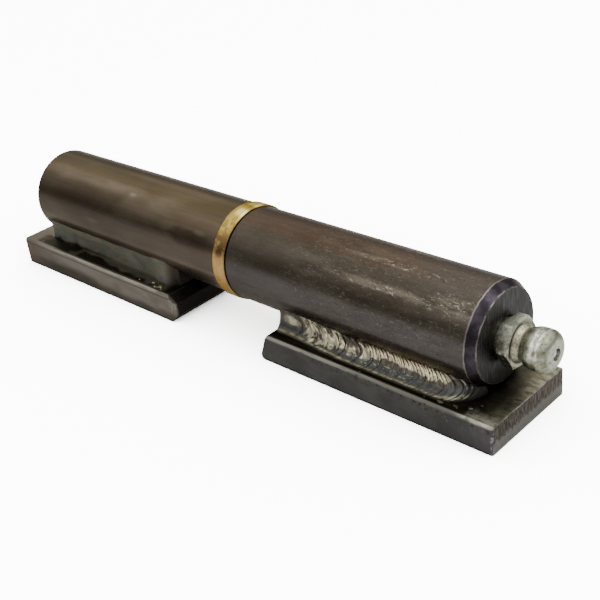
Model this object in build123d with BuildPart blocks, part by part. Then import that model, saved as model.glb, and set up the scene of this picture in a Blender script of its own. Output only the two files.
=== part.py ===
from build123d import *
from collections import namedtuple
import math
import os

os.makedirs("parts", exist_ok=True)

# Weld-on barrel hinge, in millimetres. The pin lies along X, the nipple is at
# the +X end, and both plates stand on Z = 0. The origin is the middle of the
# hinge's footprint.

# ---- Barrels, pin and washer ----
barrel_diameter = 16.0
left_barrel_length = 51.2
right_barrel_length = 49.1
edge_break = 0.3                 # small turned chamfer on the plain barrel ends
nipple_end_chamfer_axial = 1.5
nipple_end_chamfer_radial = 0.9
end_wall = 10.5                  # solid steel left between the bore and the nipple
drill_point_angle = 118.0

pin_diameter = 9.0
pin_socket_depth = 20.0          # how far the pin is pressed into the left barrel
pin_running_clearance = 0.05     # radial, pin to right barrel
pin_end_gap = 1.5                # grease space past the pin's free end
pin_lead_in = 1.0
bore_mouth_chamfer = 0.4

washer_thickness = 2.8
washer_proud = 0.3               # how far the washer stands out past the barrels
washer_bore_clearance = 0.1      # radial, washer to pin
washer_float = 0.05              # axial play on each face
washer_edge_break = 0.25

# ---- Plates ----
plate_edge_break = 0.45          # ground along the long top edges
plate_corner_break = 0.25        # on the upright corners

left_plate_thickness = 5.2
left_plate_length = 46.2
left_plate_overhang = 4.2        # past the barrel's far end
left_plate_front_margin = 2.6    # past the barrel's side
left_plate_rear_margin = -0.1
sheared_roll_along = 2.0         # rolled-over top edge of the left plate's inner end
sheared_roll_down = 1.3
sheared_burr_break = 1.5         # its bottom edge, dressed with a file

right_plate_thickness = 4.7
right_plate_length = 43.4
right_plate_overhang = 4.4
right_plate_front_margin = 2.2
right_plate_rear_margin = 0.1
sheared_end_slant = 1.9          # the foot of the right plate's inner end runs out this far
sheared_foot_radius = 0.8

# ---- Welds ----
# A toe is measured from the pin's axis to the bead's foot on the plate. An angle is
# where the bead meets the barrel, below level. A bulge is its crown past a flat face.
weld_root = 3.0                  # from the line of touch to the root of the bead
weld_bite = 0.1                  # how far a bead's edge is melted into the barrel

hollow_toe_inset = 3.5           # left front bead, from the plate's front edge
hollow_angle = 18.0
hollow_bulge = -0.35
flared_toe_inset = 1.5           # where the left front bead spreads at its end
flared_angle = 24.0
flare_length = 4.5
left_bead_start_inset = 1.2      # from the left barrel's outer end
left_bead_end_inset = 2.3        # from the left plate's inner end

crater_toe_inset = 2.2           # right front bead, at the hollow where it stops
crater_angle = 30.0
crater_bulge = -0.6
crater_length = 5.0
full_toe_inset = 1.2
full_angle = 38.0
full_bulge = 0.45
ripple_pitch = 1.2               # each freeze line overlaps the one nearer the nipple
ripple_height = 0.2
ripple_rise_share = 0.7          # of the pitch, before the drop to the next ripple
right_bead_start_inset = 0.15    # from the right plate's inner end
right_bead_end_inset = 0.8       # from the right barrel's outer end

rear_toe_inset = 0.5             # both rear beads
rear_angle = 31.0
rear_bulge = 0.1

# ---- Grease nipple ----
nipple_drop = 0.25               # its tapped hole sits this far below the pin's axis
nipple_thread_diameter = 6.0
nipple_shank_length = 5.5
nipple_tap_allowance = 0.8       # tapped hole past the shank's end
nipple_tap_countersink = 0.35
grease_way_diameter = 3.0
hexagon_standoff = 0.8           # thread left showing under the hexagon
hexagon_across_flats = 7.0
hexagon_height = 1.9
hexagon_turn = 0.0
hexagon_chamfer_angle = 30.0
hexagon_corner_wear = 0.4        # radius worn on its upright corners
neck_diameter = 4.9
neck_shoulder = 0.7              # cone from the hexagon down to the neck
neck_length = 0.2
head_diameter = 6.4
head_band = 1.0                  # straight band round the head
head_nose_length = 1.45
nose_diameter = 3.1
nose_bulge = 0.4                 # roundness of the nose past a straight cone
nipple_hole_diameter = 1.8
nipple_lip = 0.6                 # rolled lip that holds the ball in
nipple_passage_diameter = 2.7
nipple_throat_diameter = 1.6
spring_seat_height = 2.6         # above the barrel's end face

check_ball_diameter = 2.3
ball_seat_clearance = 0.03

spring_wire_diameter = 0.28
spring_coil_diameter = 2.1       # to the middle of the wire
spring_turns = 5.5
spring_end_clearance = 0.03

# ---- Worked out from the sizes above ----
barrel_radius = barrel_diameter / 2
pin_radius = pin_diameter / 2
pin_bore_radius = pin_radius + pin_running_clearance
washer_radius = barrel_radius + washer_proud
washer_gap = washer_thickness + 2 * washer_float
neck_radius = neck_diameter / 2
head_radius = head_diameter / 2
head_back_angle = math.acos(neck_radius / head_radius)
head_back_length = head_radius * math.sin(head_back_angle)
neck_end_height = hexagon_standoff + hexagon_height + neck_shoulder + neck_length
nipple_reach = neck_end_height + head_back_length + head_band + head_nose_length

reach_left = washer_gap / 2 + left_barrel_length + max(left_plate_overhang, 0)
reach_right = washer_gap / 2 + right_barrel_length + max(right_plate_overhang, nipple_reach)
reach_front = barrel_radius + max(left_plate_front_margin, right_plate_front_margin, washer_proud)
reach_rear = barrel_radius + max(left_plate_rear_margin, right_plate_rear_margin, washer_proud)

washer_x = (reach_left - reach_right) / 2
axis_y = (reach_front - reach_rear) / 2
bed_height = min(left_plate_thickness, right_plate_thickness)
axis_z = bed_height + barrel_radius

left_barrel_inner = washer_x - washer_gap / 2
left_barrel_outer = left_barrel_inner - left_barrel_length
right_barrel_inner = washer_x + washer_gap / 2
right_barrel_outer = right_barrel_inner + right_barrel_length
left_plate_outer = left_barrel_outer - left_plate_overhang
left_plate_inner = left_plate_outer + left_plate_length
right_plate_outer = right_barrel_outer + right_plate_overhang
right_plate_inner = right_plate_outer - right_plate_length
right_plate_foot = right_plate_inner - sheared_end_slant

# Sections across the pin: local x is +Y and local y is +Z, centred on the pin.
across_pin = Plane(origin=(0, axis_y, axis_z), x_dir=(0, 1, 0), z_dir=(1, 0, 0))
# Profiles along the pin: local x is +X and local y is the radius.
along_pin = Plane(origin=(0, axis_y, axis_z), x_dir=(1, 0, 0), z_dir=(0, -1, 0))
pin_axis = Axis((0, axis_y, axis_z), (1, 0, 0))
along_nipple = Plane(origin=(0, axis_y, axis_z - nipple_drop), x_dir=(1, 0, 0), z_dir=(0, -1, 0))
across_nipple = Plane(origin=(0, axis_y, axis_z - nipple_drop), x_dir=(0, 1, 0), z_dir=(1, 0, 0))
nipple_axis = Axis((0, axis_y, axis_z - nipple_drop), (1, 0, 0))


def flat_under_bar(plate_thickness):
    """What is ground off a bar's underside to bed it on a plate thicker than the other one."""
    with BuildSketch() as ground:
        with Locations((0, plate_thickness - axis_z)):
            Rectangle(barrel_diameter, barrel_radius, align=(Align.CENTER, Align.MAX))
    return ground.sketch


# ---- Left barrel: bar with a blind socket for the pin, flat where it beds on its plate ----
with BuildPart() as left_barrel:
    with BuildSketch(across_pin.offset(left_barrel_outer)):
        Circle(barrel_radius)
    extrude(amount=left_barrel_length)
    chamfer(left_barrel.edges().filter_by(GeomType.CIRCLE), edge_break)
    with BuildSketch(across_pin.offset(left_barrel_inner)):
        Circle(pin_radius)
    extrude(amount=-pin_socket_depth, mode=Mode.SUBTRACT)
    if left_plate_thickness > bed_height:
        with BuildSketch(across_pin.offset(left_barrel_outer)):
            add(flat_under_bar(left_plate_thickness))
        extrude(amount=left_plate_inner - left_barrel_outer, mode=Mode.SUBTRACT)

left_barrel.part.label = "left_barrel"
export_step(left_barrel.part, "parts/left_barrel.step")

# ---- Right barrel: bored for the pin, drilled and tapped for the nipple ----
bore_bottom = right_barrel_outer - end_wall
bore_point = bore_bottom + pin_bore_radius / math.tan(math.radians(drill_point_angle / 2))
grease_way_radius = grease_way_diameter / 2
nipple_thread_radius = nipple_thread_diameter / 2
tap_bottom = right_barrel_outer - nipple_shank_length - nipple_tap_allowance

with BuildPart() as right_barrel:
    with BuildSketch(along_pin):
        with BuildLine():
            Polyline(
                (right_barrel_inner, pin_bore_radius + bore_mouth_chamfer),
                (right_barrel_inner, barrel_radius - edge_break),
                (right_barrel_inner + edge_break, barrel_radius),
                (right_barrel_outer - nipple_end_chamfer_axial, barrel_radius),
                (right_barrel_outer, barrel_radius - nipple_end_chamfer_radial),
                (right_barrel_outer, 0),
                (bore_point, 0),
                (bore_bottom, pin_bore_radius),
                (right_barrel_inner + bore_mouth_chamfer, pin_bore_radius),
                close=True,
            )
        make_face()
    revolve(axis=pin_axis)
    with BuildSketch(along_nipple):
        with BuildLine():
            Polyline(
                (right_barrel_outer, 0),
                (right_barrel_outer, nipple_thread_radius + nipple_tap_countersink),
                (right_barrel_outer - nipple_tap_countersink, nipple_thread_radius),
                (tap_bottom, nipple_thread_radius),
                (tap_bottom, grease_way_radius),
                (bore_bottom, grease_way_radius),
                (bore_bottom, 0),
                close=True,
            )
        make_face()
    revolve(axis=nipple_axis, mode=Mode.SUBTRACT)
    if right_plate_thickness > bed_height:
        with BuildSketch(across_pin.offset(right_plate_foot)):
            add(flat_under_bar(right_plate_thickness))
        extrude(amount=right_barrel_outer - right_plate_foot, mode=Mode.SUBTRACT)

right_barrel.part.label = "right_barrel"
export_step(right_barrel.part, "parts/right_barrel.step")

# ---- Pin: pressed into the left barrel, runs in the right one ----
pin_free_end = bore_bottom - pin_end_gap
pin_length = pin_free_end - left_barrel_inner + pin_socket_depth

with BuildPart() as hinge_pin:
    with BuildSketch(across_pin.offset(left_barrel_inner - pin_socket_depth)):
        Circle(pin_radius)
    extrude(amount=pin_length)
    chamfer(hinge_pin.edges().sort_by(Axis.X)[-1], pin_lead_in)

hinge_pin.part.label = "hinge_pin"
export_step(hinge_pin.part, "parts/hinge_pin.step")

# ---- Brass thrust washer ----
with BuildPart() as thrust_washer:
    with BuildSketch(across_pin.offset(washer_x - washer_thickness / 2)):
        Circle(washer_radius)
    extrude(amount=washer_thickness)
    chamfer(thrust_washer.edges().filter_by(GeomType.CIRCLE), washer_edge_break)
    with BuildSketch(across_pin.offset(washer_x - washer_thickness / 2)):
        Circle(pin_radius + washer_bore_clearance)
    extrude(amount=washer_thickness, mode=Mode.SUBTRACT)

thrust_washer.part.label = "thrust_washer"
export_step(thrust_washer.part, "parts/thrust_washer.step")

# ---- Left plate: flat bar, sheared at its inner end ----
left_plate_front = axis_y - barrel_radius - left_plate_front_margin
left_plate_rear = axis_y + barrel_radius + left_plate_rear_margin

with BuildPart() as left_plate:
    with BuildSketch(Plane.XZ.offset(-left_plate_rear)):
        with BuildLine():
            Polyline(
                (left_plate_outer, 0),
                (left_plate_inner - sheared_burr_break, 0),
                (left_plate_inner, sheared_burr_break),
                (left_plate_inner, left_plate_thickness - sheared_roll_down),
                (left_plate_inner - sheared_roll_along, left_plate_thickness),
                (left_plate_outer, left_plate_thickness),
                close=True,
            )
        make_face()
    extrude(amount=left_plate_rear - left_plate_front)
    chamfer(left_plate.edges().filter_by(Axis.X).group_by(Axis.Z)[-1], plate_edge_break)
    chamfer(left_plate.edges().filter_by(Axis.Z), plate_corner_break)

left_plate.part.label = "left_plate"
export_step(left_plate.part, "parts/left_plate.step")

# ---- Right plate: flat bar, its inner end sheared on a slant ----
right_plate_front = axis_y - barrel_radius - right_plate_front_margin
right_plate_rear = axis_y + barrel_radius + right_plate_rear_margin

with BuildPart() as right_plate:
    with BuildSketch(Plane.XZ.offset(-right_plate_rear)) as right_plate_outline:
        with BuildLine():
            Polyline(
                (right_plate_foot, 0),
                (right_plate_outer, 0),
                (right_plate_outer, right_plate_thickness),
                (right_plate_inner, right_plate_thickness),
                close=True,
            )
        make_face()
        fillet(right_plate_outline.vertices().sort_by(Axis.X)[0], sheared_foot_radius)
    extrude(amount=right_plate_rear - right_plate_front)
    chamfer(right_plate.edges().filter_by(Axis.X).group_by(Axis.Z)[-1], plate_edge_break)
    chamfer(right_plate.edges().filter_by(Axis.Z), plate_corner_break)

right_plate.part.label = "right_plate"
export_step(right_plate.part, "parts/right_plate.step")


# ---- Welds ----
# A bead's section runs from the root to the toe along the plate, up the face to the
# barrel, and back. What lies inside the barrel is cut away after.
BeadShape = namedtuple("BeadShape", "toe angle bulge")


def bead_section(x, side, plate_top, shape):
    """One section of a bead at x, on the side -1 (front) or +1 (rear)."""
    edge_radius = barrel_radius - weld_bite
    edge_y = edge_radius * math.cos(math.radians(shape.angle))
    edge_z = axis_z - edge_radius * math.sin(math.radians(shape.angle))
    run = shape.toe - edge_y
    rise = edge_z - plate_top
    slope = math.hypot(run, rise)
    crown_y = (shape.toe + edge_y) / 2 + shape.bulge * rise / slope
    crown_z = (plate_top + edge_z) / 2 + shape.bulge * run / slope
    with BuildSketch(Plane(origin=(x, axis_y, 0), x_dir=(0, 1, 0), z_dir=(1, 0, 0))) as section:
        with BuildLine():
            Line((side * weld_root, plate_top), (side * shape.toe, plate_top))
            ThreePointArc(
                (side * shape.toe, plate_top),
                (side * crown_y, crown_z),
                (side * edge_y, edge_z),
            )
            Line((side * edge_y, edge_z), (side * weld_root, edge_z))
            Line((side * weld_root, edge_z), (side * weld_root, plate_top))
        make_face()
    return section.sketch


def bead(side, plate_top, stations, turn_radius):
    """A fillet bead through its stations along X. With a turn radius, it turns in at the end."""
    start = stations[0][0]
    end, last_shape = stations[-1]
    turn_axis = Axis((end, axis_y + side * weld_root, 0), (0, 0, -side))
    with BuildPart() as solid:
        for x, shape in stations:
            add(bead_section(x, side, plate_top, shape))
        loft(ruled=True)
        if turn_radius > 0:
            add(bead_section(end, side, plate_top, last_shape))
            revolve(axis=turn_axis, revolution_arc=90)
        with BuildSketch(across_pin.offset(start - barrel_radius)):
            Circle(barrel_radius)
        extrude(amount=end - start + turn_radius + 2 * barrel_radius, mode=Mode.SUBTRACT)
    return solid


def rippled_stations(start, end, first, last):
    """Stations of a bead laid in overlapping ripples, after the crater at its start."""
    count = round((end - start - crater_length) / ripple_pitch)
    pitch = (end - start - crater_length) / count
    stations = [(start, first)]
    for ripple in range(count):
        for place, lift in ((ripple, 0), (ripple + ripple_rise_share, ripple_height)):
            share = place / count
            toe = first.toe + (last.toe - first.toe) * share
            angle = first.angle + (last.angle - first.angle) * share
            x = start + crater_length + place * pitch
            stations.append((x, BeadShape(toe, angle, last.bulge + lift)))
    stations.append((end, last))
    return stations


left_toe_limit = barrel_radius + left_plate_front_margin
hollow_shape = BeadShape(left_toe_limit - hollow_toe_inset, hollow_angle, hollow_bulge)
flared_shape = BeadShape(left_toe_limit - flared_toe_inset, flared_angle, hollow_bulge)
left_bead_start = left_barrel_outer + left_bead_start_inset
left_bead_end = left_plate_inner - left_bead_end_inset

left_weld_front = bead(
    -1,
    left_plate_thickness,
    [
        (left_bead_start, hollow_shape),
        (left_bead_end - flare_length, hollow_shape),
        (left_bead_end, flared_shape),
    ],
    0,
)
left_weld_front.part.label = "left_weld_front"
export_step(left_weld_front.part, "parts/left_weld_front.step")

left_rear_toe = barrel_radius + left_plate_rear_margin - rear_toe_inset
left_rear_radius = left_rear_toe - weld_root
left_rear_shape = BeadShape(left_rear_toe, rear_angle, rear_bulge)

left_weld_rear = bead(
    1,
    left_plate_thickness,
    [(left_bead_start, left_rear_shape), (left_bead_end - left_rear_radius, left_rear_shape)],
    left_rear_radius,
)
left_weld_rear.part.label = "left_weld_rear"
export_step(left_weld_rear.part, "parts/left_weld_rear.step")

right_toe_limit = barrel_radius + right_plate_front_margin
crater_shape = BeadShape(right_toe_limit - crater_toe_inset, crater_angle, crater_bulge)
full_shape = BeadShape(right_toe_limit - full_toe_inset, full_angle, full_bulge)
full_radius = full_shape.toe - weld_root
right_bead_start = right_plate_inner + right_bead_start_inset
right_bead_end = right_barrel_outer - right_bead_end_inset

right_weld_front = bead(
    -1,
    right_plate_thickness,
    rippled_stations(right_bead_start, right_bead_end - full_radius, crater_shape, full_shape),
    full_radius,
)
right_weld_front.part.label = "right_weld_front"
export_step(right_weld_front.part, "parts/right_weld_front.step")

right_rear_toe = barrel_radius + right_plate_rear_margin - rear_toe_inset
right_rear_radius = right_rear_toe - weld_root
right_rear_shape = BeadShape(right_rear_toe, rear_angle, rear_bulge)

right_weld_rear = bead(
    1,
    right_plate_thickness,
    [(right_bead_start, right_rear_shape), (right_bead_end - right_rear_radius, right_rear_shape)],
    right_rear_radius,
)
right_weld_rear.part.label = "right_weld_rear"
export_step(right_weld_rear.part, "parts/right_weld_rear.step")

# ---- Grease nipple: shank, hexagon, neck and head, with its way through ----
face = right_barrel_outer
hexagon_flat_radius = hexagon_across_flats / 2
hexagon_corner_radius = hexagon_flat_radius / math.cos(math.radians(30))
corner_drop = (hexagon_corner_radius - hexagon_flat_radius) * math.tan(math.radians(hexagon_chamfer_angle))
hexagon_base = face + hexagon_standoff
hexagon_top = hexagon_base + hexagon_height
head_back = face + neck_end_height
band_start = head_back + head_back_length
band_end = band_start + head_band
head_back_middle = band_start - head_radius * math.sin(head_back_angle / 2)
nipple_tip = band_end + head_nose_length
nose_radius = nose_diameter / 2
nose_slope = math.hypot(head_nose_length, head_radius - nose_radius)
nose_middle_x = (band_end + nipple_tip) / 2 + nose_bulge * (head_radius - nose_radius) / nose_slope
nose_middle_radius = (head_radius + nose_radius) / 2 + nose_bulge * head_nose_length / nose_slope
nipple_hole_radius = nipple_hole_diameter / 2
passage_radius = nipple_passage_diameter / 2
passage_top = nipple_tip - nipple_lip
spring_seat = face + spring_seat_height
shank_end = face - nipple_shank_length

with BuildPart() as grease_nipple:
    with BuildSketch(across_nipple.offset(hexagon_base)) as hexagon:
        RegularPolygon(hexagon_corner_radius, 6, rotation=hexagon_turn)
        fillet(hexagon.vertices(), hexagon_corner_wear)
    extrude(amount=hexagon_height)
    with BuildSketch(along_nipple):
        with BuildLine():
            Polyline(
                (hexagon_base, 0),
                (hexagon_base, hexagon_flat_radius),
                (hexagon_base + corner_drop, hexagon_corner_radius),
                (hexagon_top - corner_drop, hexagon_corner_radius),
                (hexagon_top, hexagon_flat_radius),
                (hexagon_top, 0),
                close=True,
            )
        make_face()
    revolve(axis=nipple_axis, mode=Mode.INTERSECT)
    with BuildSketch(along_nipple):
        with BuildLine():
            Polyline(
                (nipple_tip, 0),
                (shank_end, 0),
                (shank_end, nipple_thread_radius),
                (hexagon_top, nipple_thread_radius),
                (hexagon_top + neck_shoulder, neck_radius),
                (head_back, neck_radius),
            )
            ThreePointArc(
                (head_back, neck_radius),
                (head_back_middle, head_radius * math.cos(head_back_angle / 2)),
                (band_start, head_radius),
            )
            Line((band_start, head_radius), (band_end, head_radius))
            ThreePointArc(
                (band_end, head_radius),
                (nose_middle_x, nose_middle_radius),
                (nipple_tip, nose_radius),
            )
            Line((nipple_tip, nose_radius), (nipple_tip, 0))
        make_face()
    revolve(axis=nipple_axis)
    with BuildSketch(along_nipple):
        with BuildLine():
            Polyline(
                (shank_end, 0),
                (shank_end, nipple_throat_diameter / 2),
                (spring_seat, nipple_throat_diameter / 2),
                (spring_seat, passage_radius),
                (passage_top, passage_radius),
                (passage_top, nipple_hole_radius),
                (nipple_tip, nipple_hole_radius),
                (nipple_tip, 0),
                close=True,
            )
        make_face()
    revolve(axis=nipple_axis, mode=Mode.SUBTRACT)

grease_nipple.part.label = "grease_nipple"
export_step(grease_nipple.part, "parts/grease_nipple.step")

# ---- Check ball: sits behind the rolled lip ----
ball_radius = check_ball_diameter / 2
ball_drop = math.sqrt(ball_radius**2 - nipple_hole_radius**2)
ball_x = passage_top - ball_drop - ball_seat_clearance

with BuildPart() as nipple_check_ball:
    with BuildSketch(along_nipple):
        with BuildLine():
            Line((ball_x - ball_radius, 0), (ball_x + ball_radius, 0))
            ThreePointArc(
                (ball_x + ball_radius, 0),
                (ball_x, ball_radius),
                (ball_x - ball_radius, 0),
            )
        make_face()
    revolve(axis=nipple_axis)

nipple_check_ball.part.label = "nipple_check_ball"
export_step(nipple_check_ball.part, "parts/nipple_check_ball.step")

# ---- Spring: holds the ball against the lip ----
wire_radius = spring_wire_diameter / 2
coil_radius = spring_coil_diameter / 2
ball_to_wire = math.sqrt((ball_radius + wire_radius) ** 2 - coil_radius**2)
spring_start = spring_seat + wire_radius + spring_end_clearance
spring_end = ball_x - ball_to_wire - spring_end_clearance
spring_length = spring_end - spring_start

with BuildPart() as nipple_spring:
    with BuildLine():
        wire_path = Helix(
            pitch=spring_length / spring_turns,
            height=spring_length,
            radius=coil_radius,
            center=(spring_start, axis_y, axis_z - nipple_drop),
            direction=(1, 0, 0),
        )
    # Eight flats, within a hundredth of a millimetre of the round wire.
    with BuildSketch(Plane(origin=wire_path @ 0, z_dir=wire_path % 0)):
        RegularPolygon(wire_radius, 8)
    sweep(path=wire_path, is_frenet=True)

nipple_spring.part.label = "nipple_spring"
export_step(nipple_spring.part, "parts/nipple_spring.step")
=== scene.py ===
import math
import random
from functools import reduce

import bmesh
import bpy
from mathutils import Matrix, Quaternion, Vector, noise


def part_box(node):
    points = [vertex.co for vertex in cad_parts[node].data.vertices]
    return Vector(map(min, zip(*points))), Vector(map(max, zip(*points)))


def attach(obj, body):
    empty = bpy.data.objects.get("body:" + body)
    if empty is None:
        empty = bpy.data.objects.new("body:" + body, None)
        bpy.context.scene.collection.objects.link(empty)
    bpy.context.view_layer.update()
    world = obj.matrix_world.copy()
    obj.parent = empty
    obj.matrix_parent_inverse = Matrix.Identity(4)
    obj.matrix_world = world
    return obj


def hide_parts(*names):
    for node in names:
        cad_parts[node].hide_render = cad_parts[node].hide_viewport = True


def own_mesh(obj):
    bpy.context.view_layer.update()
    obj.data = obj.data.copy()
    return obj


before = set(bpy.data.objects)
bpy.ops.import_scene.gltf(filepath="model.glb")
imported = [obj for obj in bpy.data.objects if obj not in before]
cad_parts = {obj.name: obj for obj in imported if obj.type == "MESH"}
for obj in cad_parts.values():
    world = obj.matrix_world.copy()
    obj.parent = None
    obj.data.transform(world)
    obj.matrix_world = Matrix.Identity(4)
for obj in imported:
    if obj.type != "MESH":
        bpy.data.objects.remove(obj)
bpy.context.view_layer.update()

noise.seed_set(5)         # unset, the noise's offsets come from the clock

# The frame is in metres. On the bench everything is in millimetres from the middle of
# the brass washer: x along the pin to the nipple, y to the back, z up.
MM = 0.001
washer_low, washer_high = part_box("thrust_washer")
pin_centre = (washer_low + washer_high) / 2
bench_to_frame = Matrix.Translation(pin_centre) @ Matrix.Scale(MM, 4)


def bench(node):
    """A CAD node's lowest and highest corners on the bench."""
    low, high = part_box(node)
    return (low - pin_centre) / MM, (high - pin_centre) / MM


left_bar_low = bench("left_barrel")[0]
right_bar_high = bench("right_barrel")[1]
left_plate_low, left_plate_high = bench("left_plate")
right_plate_low, right_plate_high = bench("right_plate")
bar_radius = right_bar_high.z
washer_half = (washer_high - washer_low).x / 2 / MM

# ---- Camera ----
CAMERA_PLACE = Vector((121.29, -104.78, 79.24))
CAMERA_AZIMUTH = math.radians(46.733)
CAMERA_ELEVATION = math.radians(29.335)
CAMERA_ROLL = math.radians(-7.403)
CAMERA_LENS = 62.953


def link_to_scene(name, data):
    thing = bpy.data.objects.new(name, data)
    bpy.context.scene.collection.objects.link(thing)
    return thing


def make_thing(name, bm):
    """Turns finished mesh work into an object at the frame's origin."""
    data = bpy.data.meshes.new(name)
    bm.to_mesh(data)
    bm.free()
    return link_to_scene(name, data)


def turn_to(thing, direction, roll=0.0):
    thing.rotation_mode = "QUATERNION"
    thing.rotation_quaternion = direction.to_track_quat("-Z", "Y") @ Quaternion((0, 0, 1), roll)


def make_camera():
    """The camera looks down on the nipple end from the front right."""
    data = bpy.data.cameras.new("camera")
    data.lens = CAMERA_LENS
    data.sensor_width = 36.0
    data.clip_start = 0.01
    camera = link_to_scene("camera", data)
    flat = math.cos(CAMERA_ELEVATION)
    look = Vector((
        -math.sin(CAMERA_AZIMUTH) * flat,
        math.cos(CAMERA_AZIMUTH) * flat,
        -math.sin(CAMERA_ELEVATION),
    ))
    camera.location = bench_to_frame @ CAMERA_PLACE
    turn_to(camera, look, CAMERA_ROLL)
    bpy.context.scene.camera = camera


# ---- Studio ----
FLOOR_SIZE = 6.0
FLOOR_ALBEDO = 0.82
PAPER_GLOW = 9.0          # how much whiter the paper looks than it lights the steel
WALL_LIGHT = 0.15
CEILING_LIGHT = 1.7
WALL_TOP, CEILING_START = 0.08, 0.6     # sines of their heights above the horizon


def softbox(name, place, aim, size, power, tint=(1, 1, 1)):
    data = bpy.data.lights.new(name, "AREA")
    data.shape = "RECTANGLE"
    data.size, data.size_y = size
    data.energy = power
    data.color = tint
    lamp = link_to_scene(name, data)
    lamp.location = place
    turn_to(lamp, Vector(aim) - Vector(place))


def seen_or_lit(tree, seen, lit):
    """A strength that is one value where it is looked at and another where it lights."""
    ray = tree.nodes.new("ShaderNodeLightPath")
    pick = tree.nodes.new("ShaderNodeMapRange")
    tree.links.new(ray.outputs["Is Camera Ray"], pick.inputs["Value"])
    pick.inputs["To Max"].default_value = seen
    if isinstance(lit, bpy.types.NodeSocket):
        tree.links.new(lit, pick.inputs["To Min"])
    else:
        pick.inputs["To Min"].default_value = lit
    return pick.outputs["Result"]


def make_floor():
    """A sheet of white paper under the hinge."""
    bm = bmesh.new()
    bmesh.ops.create_grid(bm, x_segments=1, y_segments=1, size=FLOOR_SIZE / 2)
    floor = make_thing("floor", bm)
    paper = bpy.data.materials.new("white_paper")
    paper.use_nodes = True
    tree = paper.node_tree
    tree.nodes.clear()
    out = tree.nodes.new("ShaderNodeOutputMaterial")
    diffuse = tree.nodes.new("ShaderNodeBsdfDiffuse")
    white = tree.nodes.new("ShaderNodeCombineColor")
    tone = seen_or_lit(tree, FLOOR_ALBEDO * PAPER_GLOW, FLOOR_ALBEDO)
    for channel in white.inputs:
        tree.links.new(tone, channel)
    tree.links.new(white.outputs["Color"], diffuse.inputs["Color"])
    tree.links.new(diffuse.outputs["BSDF"], out.inputs["Surface"])
    floor.data.materials.append(paper)


def make_room():
    """A white ceiling over darker walls, with two softboxes."""
    world = bpy.data.worlds.new("studio")
    world.use_nodes = True
    tree = world.node_tree
    split = tree.nodes.new("ShaderNodeSeparateXYZ")
    tree.links.new(tree.nodes.new("ShaderNodeTexCoord").outputs["Generated"], split.inputs[0])
    rise = tree.nodes.new("ShaderNodeMapRange")
    rise.interpolation_type = "SMOOTHSTEP"
    tree.links.new(split.outputs["Z"], rise.inputs["Value"])
    rise.inputs["From Min"].default_value = WALL_TOP
    rise.inputs["From Max"].default_value = CEILING_START
    rise.inputs["To Min"].default_value = WALL_LIGHT
    rise.inputs["To Max"].default_value = CEILING_LIGHT
    back = tree.nodes["Background"]
    back.inputs["Color"].default_value = (1, 1, 1, 1)
    glow = seen_or_lit(tree, PAPER_GLOW, rise.outputs["Result"])
    tree.links.new(glow, back.inputs["Strength"])
    bpy.context.scene.world = world
    middle = (0, 0, 0.01)
    softbox("left_box", (-0.55, -0.05, 0.42), middle, (0.22, 0.16), 0.3)
    softbox("right_box", (0.3, 0.1, 0.5), middle, (0.25, 0.25), 0.8)


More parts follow.
